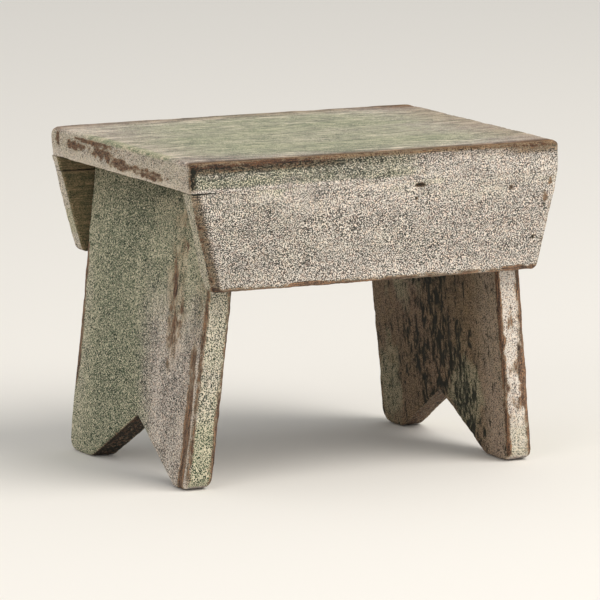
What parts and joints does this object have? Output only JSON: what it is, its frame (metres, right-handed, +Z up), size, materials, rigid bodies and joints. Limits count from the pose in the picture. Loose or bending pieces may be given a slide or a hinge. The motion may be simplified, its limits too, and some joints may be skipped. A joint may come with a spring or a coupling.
{
  "type": "step stool",
  "caption": "Low rectangular stool of nailed boards: flat top, deep raked aprons and splayed plank legs with a V notch, in worn green and cream paint.",
  "frame": {"origin": "on the floor, under the middle of the top", "axes": "+X along the length of the top, +Z up; the front apron faces -Y"},
  "size_m": [0.258, 0.191, 0.203],
  "materials": {
    "top_paint": "sage green paint over cream, dry-brushed and rubbed through to brown wood along the arrises",
    "apron_paint": "speckled cream, taupe and dark green paint, sandy and crackled, with bare brown arrises",
    "leg_paint": "sage green paint speckled with cream, worn to brown wood along the edges and in the notch",
    "nail_steel": "bright steel wire dulled by handling, heads punched below the surface"
  },
  "bodies": {
    "root": {"top_board": "top_paint", "front_apron": "apron_paint", "rear_apron": "apron_paint", "rear_apron_strip": "apron_paint", "left_leg": "leg_paint", "right_leg": "leg_paint", "apron_nail_front_left_upper": "nail_steel", "apron_nail_front_left_lower": "nail_steel", "top_nail_leg_left_front": "nail_steel", "apron_nail_rear_left_upper": "nail_steel", "apron_nail_rear_left_lower": "nail_steel", "top_nail_leg_left_rear": "nail_steel", "apron_nail_front_right_upper": "nail_steel", "apron_nail_front_right_lower": "nail_steel", "top_nail_leg_right_front": "nail_steel", "apron_nail_rear_right_upper": "nail_steel", "apron_nail_rear_right_lower": "nail_steel", "top_nail_leg_right_rear": "nail_steel", "top_nail_apron_front_left": "nail_steel", "top_nail_apron_front_middle": "nail_steel", "top_nail_apron_front_right": "nail_steel", "top_nail_apron_rear_left": "nail_steel", "top_nail_apron_rear_middle": "nail_steel", "top_nail_apron_rear_right": "nail_steel"}
  },
  "joints": []
}
